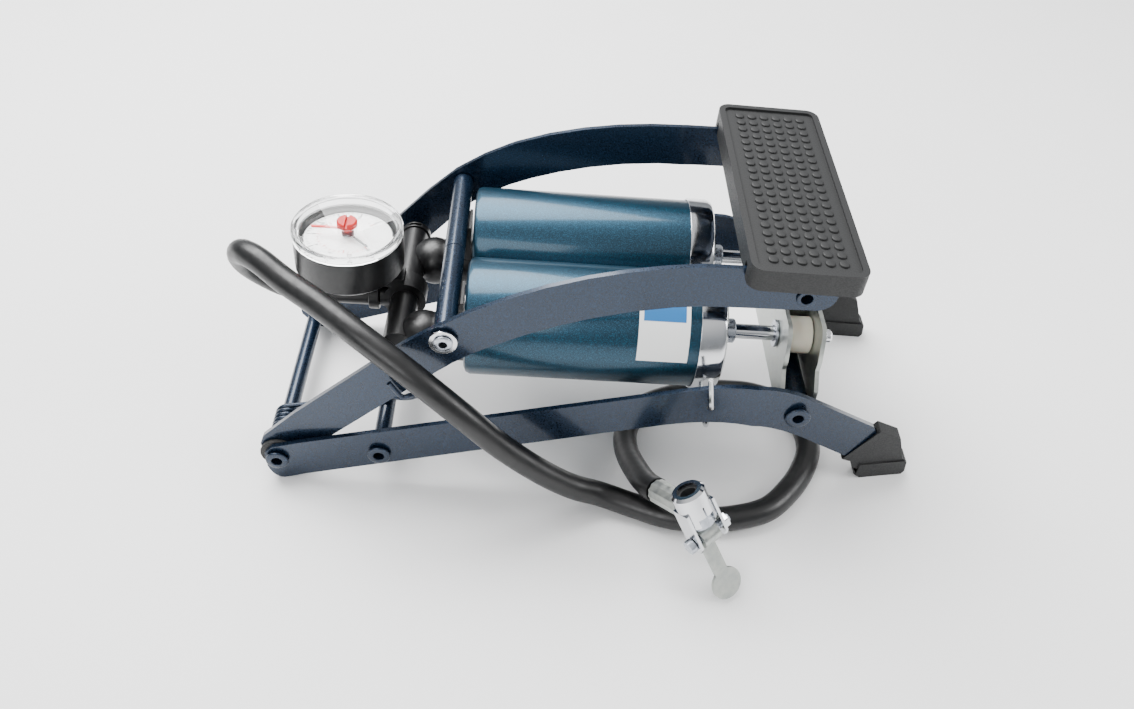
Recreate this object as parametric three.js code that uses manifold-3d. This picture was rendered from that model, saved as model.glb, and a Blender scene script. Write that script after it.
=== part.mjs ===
// Double-cylinder foot pump with pressure gauge, hose and thumb-lock valve chuck.
// Millimetres, +Z up, +X from the rear hinge towards the pedal and the rubber feet.
// The origin lies on the ground, in the middle of the pump's length and width.
import * as THREE from 'three';
import { mergeVertices } from 'three/addons/utils/BufferGeometryUtils.js';
import Module from 'manifold-3d';

const wasm = await Module();
wasm.setup();

// ---------- driving dimensions ----------
const GAP = 0.3;                 // clearance between pieces that touch or turn on each other
const FRONT_FACE_GAP = 1.5;      // the same at the front tube, where the rails slant more
const FACE_GAP = 1.1;            // clearance of rivet heads and tubes from a slanting strip
const HINGE_BACK = 150.15;       // distance from the origin back to the rear hinge
const HINGE_HEIGHT = 14.3;       // height of the rear hinge axle
const STRIP = 2.4;                 // thickness of the steel strip of rails and arms

const TRACK = [[-20, 57.3], [12, 57.3], [226, 66.5], [320, 49.5]]; // rails: X, outer half width
const SPREAD = [[-20, 52.6], [12, 52.6], [30, 54.6], [88, 61.9], [112, 61.9], [198, 55.8], [270, 55.6]]; // arms: the same

const AXLE_R = 4;                // rear axle, rear cross tube and pedal cross tube
const AXLE_BORE = 2.6;
const HEAD_R = 5.5;              // rolled rivet heads of the tubes
const HEAD_THICK = 1.3;
const CROSS_TUBE = [50.5, 20];   // X, Z of the second cross tube
const FRONT_TUBE = [247.3, 50.5];
const FRONT_TUBE_R = 6.4;        // tube that the rod bracket straddles
const FRONT_NECK_R = 4.4;        // its reduced ends in the rails
const LATCH = [206.5, 58.5];     // X, Z of the latch wire's holes
const LATCH_WIRE_R = 1.25;
const PIVOT = [88.1, 96.9];      // X, Z of the pivot that pushes the cylinders
const PIVOT_TUBE_R = 5;
const PIVOT_PIN_R = 3;
const EYELET_R = 6.3;
const EYELET_THICK = 1.1;
const HINGE_WASHER_R = 9;
const PEDAL_TUBE = [242.5, 115.3];

const PEDAL_CENTRE = [240.3, 135.9];
const PEDAL_TILT = 5.3;          // degrees, down towards +X
const PAD_LENGTH = 49.5;
const PAD_WIDTH = 131;
const PAD_DEPTH = 10.5;
const PAD_SKIN = 3;
const PAD_WALL = 2.3;
const PAD_CORNER = 6;
const PAD_RECESS = 1.2;
const PEDAL_PLATE = 1.6;

const BARREL_REAR = [94, 81.77]; // X, Z of the barrel's rear end, on its axis
const BARREL_TILT = 4.5;         // degrees, down towards +X
const BARREL_PITCH = 28.3;       // half the distance between the two barrel axes
const BARREL_R = 27.1;
const BARREL_WALL = 1.2;
const BARREL_LENGTH = 113;
const BARREL_ROUND = 3;
const BARREL_START = 0.8;        // rear face, kept clear of the pivot tube's swing
const REAR_WALL = 2;
const CAP_LENGTH = 12.6;
const CAP_WALL = 0.7;
const CAP_REACH = BARREL_LENGTH + 5.4;         // distance from the barrel's rear end to the cap's front face
const ROD_R = 3.5;
const ROD_BUSH_R = 5.8;
const ROD_BUSH_LENGTH = 7.6;
const PISTON_START = 5;
const PISTON_LENGTH = 12;
const SEAL_START = 9;
const SEAL_LENGTH = 4;
const BRACKET_THICK = 2;
// Half of the bracket plate's outline: distance from the middle, level above the rod axis.
const BRACKET_OUTLINE = [[41, 16.5], [45, 14], [49.5, 2], [49.5, -3], [56, -10], [56.5, -21]];
const BRACKET_WEB = [12, 16];    // the webs between the plates, from the middle
const BRACKET_WEB_TOP = 12;
const NYLON_R = 8.8;
const NYLON_LENGTH = 13;
const ROD_WASHER_R = 6.5;
const ROD_WASHER_THICK = 1.2;
const NUT_R = 5.6;
const NUT_LENGTH = 5;
const ROD_TIP = 3.4;             // threaded end past the nut

const MANIFOLD_BACK = 31;        // manifold axis behind the barrel's rear end
const MANIFOLD_DROP = 14;        // and below the barrel axis
const MANIFOLD_R = 7;
const MANIFOLD_BORE = 4.3;
const MANIFOLD_NEAR_END = -36;
const MANIFOLD_FAR_END = 46;
const BOSS_R = 10.5;
const ELBOW_R = 12;
const ELBOW_BACK = 19;
const NECK_R = 11.3;
const PORT_R = 3.6;
const CRADLE_WIDTH = 16;
const COLLAR_R = 7.8;
const COLLAR_LENGTH = 5;
const NIPPLE_R = 4;
const HOSE_START = 48.5;         // hose end behind the barrel's rear end

const GAUGE_BACK = 56.8;         // gauge axis behind the barrel's rear end
const GAUGE_TOP = 26.3;          // top of the lens above the barrel axis
const GAUGE_R = 25.9;
const GAUGE_BOTTOM = 2.3;
const LENS_DEPTH = 4.2;
const GAUGE_WALL = 1.8;
const DIAL_R = 22.4;
const DIAL_LEVEL = 18.5;
const NEEDLE_LEVEL = 20.3;
const NEEDLE_LENGTH = 15.5;
const NEEDLE_HEADING = -45;      // degrees from +X, zero of the scale
const MARKER_LEVEL = 23.4;
const MARKER_LENGTH = 17;
const MARKER_HUB_R = 4.8;

const HOSE_R = 6;
const HOSE_SIDES = 10;
const HOSE_STEPS = 76;
const HOSE_SPLIT = 0.4;          // share of the hose's length that moves with the cylinders
const HOSE_POINTS = [
  [44.55, 0, 71.62], [30, 0, 72.8], [14, 0, 74.6], [4, 0, 77], [-3.6, -0.5, 82.5], [-8.5, -3.5, 90.3],
  [-10.2, -8, 99], [-8.4, -13, 106.5], [-3.6, -18.5, 110.3], [3.5, -24.5, 110.9], [16, -34, 107],
  [33, -46, 103], [53, -60.5, 96.8], [74, -72, 85.7], [94.5, -78, 67.5], [112, -79.5, 47.5],
  [132, -79.5, 28], [145, -77.8, 17], [157, -76.1, 10], [173, -80.3, 6.5], [188.5, -86.3, 6.2],
  [204, -88.5, 6.2], [219.9, -87.5, 6.2], [236.2, -82.5, 6.2], [248, -71.5, 6.2], [257, -58.5, 6.2],
  [262.5, -44, 6.2], [261.5, -28, 6.2], [252, -12.5, 6.2], [238, -5.2, 6.2], [225.8, -3.4, 6.2],
  [212, -4, 6.2], [195.8, -7.3, 6.2], [182.2, -14, 6.2], [173.5, -26, 6.3], [170.8, -36, 7.6],
  [170.8, -49.8, 11.2], [173.6, -65.4, 17.2], [178.45, -81.7, 24.3], [182.5, -88.6, 28],
];

const CHUCK_MOUTH = [192.2, -109, 53.5];
const CHUCK_AXIS = [-0.407, 0.269, 0.873];      // out of the mouth
const CHUCK_SIDE = [-0.474, 0.756, -0.454];  // out of the side, along the hose ferrule
const CHUCK_R = 7.8;
const CHUCK_WALL = 1.3;
const CHUCK_SHELL = 16;          // length of the round part
const CHUCK_LENGTH = 30;         // mouth to the ends of the cheeks
const CHUCK_MOUTH_R = 4.6;
const SLIT = 0.8;                // where the rolled shell meets, at the front
const SLIT_LENGTH = 9;
const CHEEK_HALF_WIDTH = 5.2;
const SEAL_HOLE_R = 3.7;
const CHUCK_SEAL_LENGTH = 7;
const CORE_LENGTH = 9;
const STEM_R = 3.2;
const FERRULE_LEVEL = 12.8;        // below the mouth
const FERRULE_START = 9.8;
const FERRULE_END = 30.5;
const FERRULE_R = 5.9;
const PIN_LEVEL = 24.8;            // below the mouth
const PIN_R = 1.9;
const LEVER_ANGLE = 1.5;        // degrees that the lever stands off the chuck's axis
const LEVER_LENGTH = 27.3;
const LEVER_WIDTH = 7;
const LEVER_THICK = 1.6;
const PADDLE_R = 7.6;
const LEVER_SHIFT = -2;            // sideways, from the middle of the cheeks
const CAM_R = 4.8;
const CAM_WIDTH = 9;

const ROUND = 32;                // facets round a large cylinder
const FINE = 20;                 // facets round a small one

// ---------- finishes ----------
const finish = (color, roughness, metalness) => new THREE.MeshStandardMaterial({ color, roughness, metalness });
const NAVY = finish(0x22384c, 0.38, 0.6);
const TEAL = finish(0x1d5876, 0.3, 0.6);
const CHROME = finish(0xd5d6d8, 0.15, 1);
const ZINC = finish(0xb7bab2, 0.35, 0.9);
const NYLON = finish(0xece7cf, 0.45, 0);
const RUBBER = finish(0x2a2c2b, 0.75, 0);
const BLACK = finish(0x17191a, 0.5, 0);
const FIBRE = finish(0x5e564b, 0.8, 0);
const STEEL = finish(0x8b9095, 0.4, 1);
const WHITE = finish(0xf3f2ee, 0.5, 0);
const GREY = finish(0x6f7276, 0.4, 0.5);
const RED = finish(0xd82a2c, 0.4, 0);
const CLEAR = new THREE.MeshStandardMaterial(
  { color: 0xeef2f3, roughness: 0.05, metalness: 0, transparent: true, opacity: 0.35 });

// ---------- solids ----------
const radians = THREE.MathUtils.degToRad;

function outward(geometry) {
  // Merges the vertices, drops empty triangles and turns the faces outwards.
  const bare = geometry.index ? geometry.toNonIndexed() : geometry.clone();
  bare.deleteAttribute('normal');
  bare.deleteAttribute('uv');
  const merged = mergeVertices(bare, 1e-4);
  const at = merged.getAttribute('position');
  const corners = [];
  let volume = 0;
  const [a, b, c] = [new THREE.Vector3(), new THREE.Vector3(), new THREE.Vector3()];
  for (let i = 0; i < merged.index.count; i += 3) {
    const three = [0, 1, 2].map((k) => merged.index.getX(i + k));
    if (new Set(three).size < 3) continue;
    corners.push(three);
    a.fromBufferAttribute(at, three[0]);
    b.fromBufferAttribute(at, three[1]);
    c.fromBufferAttribute(at, three[2]);
    volume += a.dot(b.cross(c));
  }
  const order = volume < 0 ? corners.map(([p, q, r]) => [p, r, q]) : corners;
  merged.setIndex(order.flat());
  return merged;
}

function solid(geometry) {
  const shell = outward(geometry);
  return new wasm.Manifold(new wasm.Mesh({
    numProp: 3,
    vertProperties: new Float32Array(shell.getAttribute('position').array),
    triVerts: new Uint32Array(shell.index.array),
  }));
}

function shell(manifold) {
  const mesh = manifold.getMesh();
  const geometry = new THREE.BufferGeometry();
  geometry.setAttribute('position', new THREE.BufferAttribute(new Float32Array(mesh.vertProperties), 3));
  geometry.setIndex(new THREE.BufferAttribute(new Uint32Array(mesh.triVerts), 1));
  return geometry;
}

const joined = (...geometries) => shell(geometries.map(solid).reduce((all, next) => all.add(next)));
const cut = (geometry, ...tools) => shell(tools.map(solid).reduce((all, next) => all.subtract(next), solid(geometry)));

function turned(profile, facets = FINE) {
  // profile is [distance along the axis, radius]; the axis is +Y.
  return new THREE.LatheGeometry(profile.map(([along, radius]) => new THREE.Vector2(radius, along)), facets);
}
const alongX = (geometry) => geometry.rotateZ(-Math.PI / 2);
const alongZ = (geometry) => geometry.rotateX(Math.PI / 2);
const rod = (from, to, radius, facets = FINE) => turned([[from, 0], [from, radius], [to, radius], [to, 0]], facets);
const ring = (from, to, inner, outer, facets = FINE) =>
  turned([[from, inner], [from, outer], [to, outer], [to, inner], [from, inner]], facets);

function block([x0, x1], [y0, y1], [z0, z1]) {
  return new THREE.BoxGeometry(x1 - x0, y1 - y0, z1 - z0)
    .translate((x0 + x1) / 2, (y0 + y1) / 2, (z0 + z1) / 2);
}

function wire(points, radius, sides, steps) {
  const route = points instanceof THREE.Curve
    ? points : new THREE.CatmullRomCurve3(points.map((p) => new THREE.Vector3(...p)), false, 'centripetal');
  const section = new THREE.Shape();
  for (let i = 0; i < sides; i += 1) {
    const turn = (2 * Math.PI * i) / sides;
    const [x, y] = [radius * Math.cos(turn), radius * Math.sin(turn)];
    if (i === 0) section.moveTo(x, y);
    else section.lineTo(x, y);
  }
  return new THREE.ExtrudeGeometry(section, { steps, extrudePath: route });
}

function tilted([x, z], [x0, z0], degrees) {
  // X and Z of a point in a frame at x0, z0 that is tilted down towards +X.
  const [c, s] = [Math.cos(radians(degrees)), Math.sin(radians(degrees))];
  return [(x - x0) * c - (z - z0) * s, (x - x0) * s + (z - z0) * c];
}

function halfWidth(stations, x) {
  // Outer half width at x of a pair of strips that are bent at the stations.
  const next = Math.max(1, stations.findIndex(([at]) => at >= x));
  const [[x0, y0], [x1, y1]] = [stations[next - 1], stations[next]];
  return y0 + ((y1 - y0) * (x - x0)) / (x1 - x0);
}

function bentStrip(shape, stations, side, inset, thickness) {
  // An upright strip with the outline shape in X and Z, bent in plan at the stations.
  const flat = solid(new THREE.ExtrudeGeometry(shape, { depth: thickness, bevelEnabled: false, curveSegments: 9 }));
  const pieces = [];
  for (let i = 1; i < stations.length; i += 1) {
    const [[x0, y0], [x1, y1]] = [stations[i - 1], stations[i]];
    const bay = solid(block([x0, x1], [-500, 500], [-1, thickness + 1]));
    const piece = shell(flat.intersect(bay));
    const at = piece.getAttribute('position');
    for (let k = 0; k < at.count; k += 1) {
      const x = at.getX(k);
      const outer = y0 + ((y1 - y0) * (x - x0)) / (x1 - x0);
      at.setXYZ(k, x, side * (outer - inset - at.getZ(k)), at.getY(k));
    }
    if (at.count > 0) pieces.push(piece);
  }
  return joined(...pieces);
}

function grown(points, gap) {
  // Moves each edge of a polygon outwards by gap; points run anticlockwise.
  const lines = points.map((p, i) => {
    const q = points[(i + 1) % points.length];
    const edge = new THREE.Vector2(q[0] - p[0], q[1] - p[1]).normalize();
    return { x: p[0] + gap * edge.y, y: p[1] - gap * edge.x, edge };
  });
  return lines.map((line, i) => {
    const last = lines[(i + lines.length - 1) % lines.length];
    const cross = last.edge.x * line.edge.y - last.edge.y * line.edge.x;
    const along = ((line.x - last.x) * line.edge.y - (line.y - last.y) * line.edge.x) / cross;
    return [last.x + along * last.edge.x, last.y + along * last.edge.y];
  });
}

const outline = (points) => new THREE.Shape(points.map(([x, y]) => new THREE.Vector2(x, y)));

function drilled(shape, holes) {
  for (const [x, y, radius] of holes) {
    shape.holes.push(new THREE.Path().absellipse(x, y, radius, radius, 0, 2 * Math.PI, true));
  }
  return shape;
}

const pump = new THREE.Group();
pump.position.x = -HINGE_BACK;

function add(name, geometry, material, group = pump) {
  const mesh = new THREE.Mesh(outward(geometry), material.clone());
  mesh.name = name;
  group.add(mesh);
  return mesh;
}

const SIDES = [['left', 1], ['right', -1]];

// ---------- base: rails, tubes and feet ----------
const RAIL_RUN = [22, -15.8];     // slope of the rails at the feet
const RAIL_END_LOW = [278, 15];
const RAIL_END_TIP = [292.5, 24.5];
const RAIL_END_TOP = [287.5, 34.4];

function railShape() {
  const shape = new THREE.Shape();
  shape.moveTo(0.9, 0);
  shape.lineTo(180, 44.7);
  shape.bezierCurveTo(196, 48.7, 212, 51.5, 230.3, 46.2);
  shape.quadraticCurveTo(243, 42, 259.8, 28.6);
  shape.lineTo(...RAIL_END_LOW);
  shape.lineTo(...RAIL_END_TIP);
  shape.lineTo(...RAIL_END_TOP);
  shape.lineTo(258.2, 55.3);
  shape.bezierCurveTo(240, 68.5, 226, 76, 196, 68.6);
  shape.lineTo(-1.6, 22);
  shape.lineTo(-5.8, 17.5);
  shape.lineTo(-6, 8.5);
  shape.quadraticCurveTo(-4.5, 0.4, 0.9, 0);
  return drilled(shape, [
    [0, HINGE_HEIGHT, AXLE_R + GAP],
    [...CROSS_TUBE, AXLE_R + GAP],
    [...FRONT_TUBE, FRONT_NECK_R + GAP],
    [...LATCH, LATCH_WIRE_R + 2 * GAP],
  ]);
}

function rivetedTube([x, z], reach, radius, neck, step, faceGap = FACE_GAP) {
  // A hollow tube across the pump whose ends are rolled over outside the strips.
  const head = reach + faceGap;
  const tip = head + HEAD_THICK;
  const headR = neck + HEAD_R - AXLE_R;
  const half = [[0, radius], [step, radius], [step, neck], [head, neck], [head, headR],
    [tip - 0.4, headR], [tip, headR - 0.8], [tip, AXLE_BORE]];
  const back = half.slice().reverse().map(([along, r]) => [-along, r]);
  return turned([...back, ...half.slice(1), [-tip, AXLE_BORE]]).translate(x, 0, z);
}

const FOOT_TRACK = [[265, 59.2], [320, 53]];   // feet: X, outer half width
const FOOT_THICK = 7.4;
const SOLE_LIP = 0.9;

function foot(side) {
  const upper = outline([[285.5, 0], [308, 0], [309.2, 2], [308.9, 8], [306.5, 11], [302.5, 25.5], [291.2, 32],
    [275.3, 14.3], [280, 12], [281.5, 8], [283.5, 2]]);
  const sole = outline([[286.5, 0], [308, 0], [309.3, 2], [309.1, 8.4], [308, 9.4], [285, 9.4], [284.6, 2]]);
  const rearLow = [RAIL_END_LOW[0] - RAIL_RUN[0], RAIL_END_LOW[1] - RAIL_RUN[1]];
  const rearTop = [RAIL_END_TOP[0] - RAIL_RUN[0], RAIL_END_TOP[1] - RAIL_RUN[1]];
  const socket = outline(grown([rearLow, RAIL_END_LOW, RAIL_END_TIP, RAIL_END_TOP, rearTop], GAP));
  const pocket = bentStrip(socket, TRACK, side, -GAP, STRIP + 2 * GAP);
  return cut(joined(bentStrip(upper, FOOT_TRACK, side, 0, FOOT_THICK),
    bentStrip(sole, FOOT_TRACK, side, -SOLE_LIP, FOOT_THICK + 2 * SOLE_LIP)), pocket);
}

for (const [hand, side] of SIDES) {
  add(`base_rail_${hand}`, bentStrip(railShape(), TRACK, side, 0, STRIP), NAVY);
  add(`foot_${hand}`, foot(side), RUBBER);
}
const hingeReach = halfWidth(TRACK, 0);
add('rear_axle_tube', rivetedTube([0, HINGE_HEIGHT], hingeReach, AXLE_R, AXLE_R, hingeReach / 2), NAVY);
const crossReach = halfWidth(TRACK, CROSS_TUBE[0]);
add('base_cross_tube', rivetedTube(CROSS_TUBE, crossReach, AXLE_R, AXLE_R, crossReach / 2), NAVY);
const frontReach = halfWidth(TRACK, FRONT_TUBE[0]);
add('front_pivot_tube',
  rivetedTube(FRONT_TUBE, frontReach, FRONT_TUBE_R, FRONT_NECK_R, frontReach - STRIP - FRONT_FACE_GAP,
    FRONT_FACE_GAP), NAVY);

function latchWire() {
  const [x, z] = LATCH;
  const outside = halfWidth(TRACK, x) + LATCH_WIRE_R + 2 * GAP;
  const inside = (BARREL_PITCH + BARREL_R + CAP_WALL + GAP + halfWidth(TRACK, x) - STRIP) / 2;
  const half = [[x - 2, outside, z + 19.5], [x - 0.4, outside, z + 4], [x, outside - 0.5, z + 1], [x, outside - 1.8, z],
    [x, inside + 1.8, z], [x, inside + 0.4, z - 0.9], [x, inside, z - 2.5], [x, inside, z - 16.5],
    [x, inside - 0.9, z - 18.8], [x, inside - 3, z - 19.5], [x, inside - 25, z - 19.5]];
  const other = half.slice().reverse().map(([px, py, pz]) => [px, -py, pz]);
  return wire([...half, ...other], LATCH_WIRE_R, 8, 90);
}
add('latch_wire', latchWire(), CHROME);

const SPRING_WIRE_R = 1.2;
const SPRING_COIL_R = AXLE_R + GAP + SPRING_WIRE_R + 0.2;
const SPRING_PITCH = 2.75;

function returnSpring() {
  const first = radians(-48.2);          // leaves the coil along the arm
  const last = radians(90 - 8 * 360);    // leaves it along the base
  const startY = -(halfWidth(SPREAD, 0) - STRIP - SPRING_WIRE_R - 2 * GAP);
  const points = [];
  const hook = [[61.3, -60.9, 69.6], [63.8, -61.1, 65], [66.8, -61.2, 61], [70.4, -60.6, 61.6], [72.4, -58, 59.5],
    [71.6, -55.2, 55.6], [68, -53.2, 52.4], [63.5, -52, 51], [58.5, -51, 50.6]];
  points.push(...hook);
  const turns = (first - last) / (2 * Math.PI);
  const steps = Math.round(turns * 12);
  const along = (at) => [
    SPRING_COIL_R * Math.cos(at), HINGE_HEIGHT + SPRING_COIL_R * Math.sin(at)];
  const [tx, tz] = along(first);
  points.push([tx + 20, startY, tz + 20 * Math.tan(radians(41.8))]);
  for (let i = 0; i <= steps; i += 1) {
    const at = first + ((last - first) * i) / steps;
    const [x, z] = along(at);
    points.push([x, startY + SPRING_PITCH * turns * (i / steps), z]);
  }
  const endY = startY + SPRING_PITCH * turns;
  const rest = CROSS_TUBE[1] + AXLE_R + GAP + SPRING_WIRE_R;
  points.push([CROSS_TUBE[0] * 0.5, endY, (HINGE_HEIGHT + SPRING_COIL_R + rest) / 2 + 0.1]);
  points.push([CROSS_TUBE[0], endY, rest + 0.1], [CROSS_TUBE[0] + 6, endY, rest + 0.8]);
  return wire(points, SPRING_WIRE_R, 6, 190);
}
add('return_spring', returnSpring(), NAVY);

// ---------- treadle: arms, pivot and pedal ----------
const PAD_REAR = PEDAL_CENTRE[0] - PAD_LENGTH / 2;

function armShape() {
  const shape = new THREE.Shape();
  shape.moveTo(12, 13.3);
  shape.lineTo(84, 77.7);
  shape.bezierCurveTo(100, 93.2, 150, 113.8, 205, 110.4);
  shape.lineTo(249, 108);
  shape.quadraticCurveTo(256.5, 110, 256, 118);
  shape.lineTo(254, 127.2);
  shape.lineTo(215, 130.9);
  shape.bezierCurveTo(170, 135, 112, 128.5, 69.5, 92);
  shape.lineTo(-5.9, 25.2);
  shape.lineTo(-8.2, 20);
  shape.lineTo(-8, 14);
  shape.quadraticCurveTo(-1, 3, 12, 13.3);
  return drilled(shape, [
    [0, HINGE_HEIGHT, AXLE_R + GAP],
    [...PIVOT, PIVOT_PIN_R + GAP],
    [...PEDAL_TUBE, AXLE_R + GAP],
  ]);
}

const pivotReach = halfWidth(SPREAD, PIVOT[0]);
for (const [hand, side] of SIDES) {
  add(`arm_${hand}`, bentStrip(armShape(), SPREAD, side, 0, STRIP), NAVY);
  const inner = halfWidth(SPREAD, 0) + GAP;
  const outer = hingeReach - STRIP - GAP;
  add(`hinge_washer_${hand}`, ring(inner, outer, AXLE_R + GAP, HINGE_WASHER_R).scale(1, side, 1)
    .translate(0, 0, HINGE_HEIGHT), FIBRE);
  add(`pivot_tube_${hand}`, ring(GAP / 2, pivotReach - STRIP - FACE_GAP, PIVOT_PIN_R + GAP, PIVOT_TUBE_R)
    .scale(1, side, 1).translate(PIVOT[0], 0, PIVOT[1]), NAVY);
  add(`pivot_washer_${hand}`, ring(pivotReach + FACE_GAP, pivotReach + FACE_GAP + EYELET_THICK,
    PIVOT_PIN_R + GAP, EYELET_R).scale(1, side, 1).translate(PIVOT[0], 0, PIVOT[1]), CHROME);
}

function pivotPin() {
  const head = pivotReach + FACE_GAP + EYELET_THICK + GAP;
  const tip = head + 1.1;
  const bore = PIVOT_PIN_R - 1.1;
  const half = [[head, PIVOT_PIN_R], [head, PIVOT_PIN_R + 1.3], [tip - 0.4, PIVOT_PIN_R + 1.3],
    [tip, PIVOT_PIN_R + 0.6], [tip, bore]];
  const back = half.slice().reverse().map(([along, r]) => [-along, r]);
  return turned([...back, ...half, [-tip, bore]]).translate(PIVOT[0], 0, PIVOT[1]);
}
add('cylinder_pivot_pin', pivotPin(), STEEL);

function pedalTube() {
  const reach = halfWidth(SPREAD, PEDAL_TUBE[0]);
  const head = reach + GAP;
  const tip = head + 1;
  const half = [[head, AXLE_R], [head, AXLE_R + 0.5], [tip, AXLE_R + 0.2], [tip, AXLE_BORE]];
  const back = half.slice().reverse().map(([along, r]) => [-along, r]);
  return turned([...back, ...half, [-tip, AXLE_BORE]]).translate(PEDAL_TUBE[0], 0, PEDAL_TUBE[1]);
}
add('pedal_cross_tube', pedalTube(), NAVY);

const pedal = new THREE.Group();
pedal.position.set(PEDAL_CENTRE[0], 0, PEDAL_CENTRE[1]);
pedal.rotation.y = radians(PEDAL_TILT);
pump.add(pedal);

function roundedRectangle(length, width, radius) {
  const [x, y] = [length / 2, width / 2];
  const shape = new THREE.Shape();
  shape.moveTo(-x + radius, -y);
  shape.lineTo(x - radius, -y);
  shape.absarc(x - radius, -y + radius, radius, -Math.PI / 2, 0);
  shape.lineTo(x, y - radius);
  shape.absarc(x - radius, y - radius, radius, 0, Math.PI / 2);
  shape.lineTo(-x + radius, y);
  shape.absarc(-x + radius, y - radius, radius, Math.PI / 2, Math.PI);
  shape.lineTo(-x, -y + radius);
  shape.absarc(-x + radius, -y + radius, radius, Math.PI, 1.5 * Math.PI);
  return shape;
}
const pressed = (shape, from, to) =>
  new THREE.ExtrudeGeometry(shape, { depth: to - from, bevelEnabled: false, curveSegments: 5 }).translate(0, 0, from);

function pedalPad() {
  const hollow = roundedRectangle(PAD_LENGTH - 2 * PAD_WALL, PAD_WIDTH - 2 * PAD_WALL, PAD_CORNER - PAD_WALL);
  const tread = roundedRectangle(PAD_LENGTH - 6, PAD_WIDTH - 6, PAD_CORNER - 3);
  const armMiddle = halfWidth(SPREAD, PAD_REAR) - STRIP / 2;
  const slots = [1, -1].map((side) => block([-PAD_LENGTH / 2 - 2, -PAD_LENGTH / 2 + 5],
    [side * armMiddle - STRIP / 2 - 2 * GAP, side * armMiddle + STRIP / 2 + 2 * GAP],
    [-PAD_DEPTH - 1, -PAD_SKIN - PEDAL_PLATE - GAP]));
  return cut(pressed(roundedRectangle(PAD_LENGTH, PAD_WIDTH, PAD_CORNER), -PAD_DEPTH, 0),
    pressed(hollow, -PAD_DEPTH - 1, -PAD_SKIN), pressed(tread, -PAD_RECESS, 1), ...slots);
}
add('pedal_pad', pedalPad(), RUBBER, pedal);

function pedalPlate() {
  const length = PAD_LENGTH - 2 * PAD_WALL - 2 * GAP;
  const width = PAD_WIDTH - 2 * PAD_WALL - 2 * GAP;
  const top = -PAD_SKIN - GAP;
  const sheet = pressed(roundedRectangle(length, width, PAD_CORNER - PAD_WALL - GAP), top - PEDAL_PLATE, top);
  const [tubeX, tubeZ] = tilted(PEDAL_TUBE, PEDAL_CENTRE, PEDAL_TILT);
  const armInner = halfWidth(SPREAD, PEDAL_TUBE[0]) - STRIP;
  const tabs = [1, -1].map((side) => block([-12, 12],
    [side * armInner - side * 2 * GAP, side * armInner - side * (2 * GAP + PEDAL_PLATE)].sort((p, q) => p - q),
    [tubeZ - 6, top - 0.2]));
  return cut(joined(sheet, ...tabs), rod(-90, 90, AXLE_R + GAP).translate(tubeX, 0, tubeZ));
}
add('pedal_plate', pedalPlate(), NAVY, pedal);

// ---------- cylinders, pistons and rods ----------
const cylinders = new THREE.Group();
cylinders.position.set(BARREL_REAR[0], 0, BARREL_REAR[1]);
cylinders.rotation.y = radians(BARREL_TILT);
pump.add(cylinders);

const [pivotS, pivotN] = tilted(PIVOT, BARREL_REAR, BARREL_TILT);
const [frontS, frontN] = tilted(FRONT_TUBE, BARREL_REAR, BARREL_TILT);
const CAP_R = BARREL_R + GAP + CAP_WALL;

function barrel() {
  const bore = BARREL_R - BARREL_WALL;
  const corner = BARREL_ROUND;
  const rear = BARREL_START;
  const profile = [[rear, 0], [rear, BARREL_R - corner], [rear + corner * 0.3, BARREL_R - corner * 0.3],
    [rear + corner, BARREL_R], [BARREL_LENGTH, BARREL_R], [BARREL_LENGTH, bore],
    [rear + REAR_WALL, bore], [rear + REAR_WALL, 0]];
  const port = alongX(rod(-5, 10, PORT_R + GAP)).translate(0, 0, -MANIFOLD_DROP);
  return cut(alongX(turned(profile, ROUND)), port);
}

function frontCap() {
  const inner = BARREL_R + GAP;
  const rear = CAP_REACH - CAP_LENGTH;
  return alongX(turned([[rear, inner], [rear, CAP_R], [CAP_REACH - 3, CAP_R], [CAP_REACH - 1, CAP_R - 0.8],
    [CAP_REACH, CAP_R - 3], [CAP_REACH, ROD_R + 1.6], [CAP_REACH - 2, ROD_R + 1.6], [CAP_REACH - 2, inner],
    [rear, inner]], ROUND));
}

function rodBush() {
  const start = CAP_REACH + GAP;
  return alongX(turned([[CAP_REACH - 4, ROD_R + GAP], [CAP_REACH - 4, ROD_R + 1.3], [start, ROD_R + 1.3],
    [start, ROD_BUSH_R], [start + ROD_BUSH_LENGTH - 0.6, ROD_BUSH_R], [start + ROD_BUSH_LENGTH, ROD_BUSH_R - 0.6],
    [start + ROD_BUSH_LENGTH, ROD_R + GAP], [CAP_REACH - 4, ROD_R + GAP]]));
}

function piston() {
  const end = PISTON_START + PISTON_LENGTH;
  const outer = BARREL_R - BARREL_WALL - 0.6;
  const groove = outer - 2.5;
  return alongX(turned([[PISTON_START, ROD_R + GAP], [PISTON_START, outer], [SEAL_START, outer], [SEAL_START, groove],
    [SEAL_START + SEAL_LENGTH, groove], [SEAL_START + SEAL_LENGTH, outer], [end, outer], [end, ROD_R + GAP],
    [PISTON_START, ROD_R + GAP]], ROUND));
}

const bracketRear = frontS - NYLON_LENGTH / 2 - GAP - BRACKET_THICK;
const bracketFront = frontS + NYLON_LENGTH / 2 + GAP;
const nutStart = bracketFront + BRACKET_THICK + GAP;

function pistonRod() {
  const thread = ROD_R - 0.4;
  const tip = nutStart + NUT_LENGTH + ROD_TIP;
  return alongX(turned([[PISTON_START, 0], [PISTON_START, ROD_R], [bracketRear, ROD_R], [bracketRear, thread],
    [tip - 1, thread], [tip, thread - 1], [tip, 0]]));
}

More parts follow.
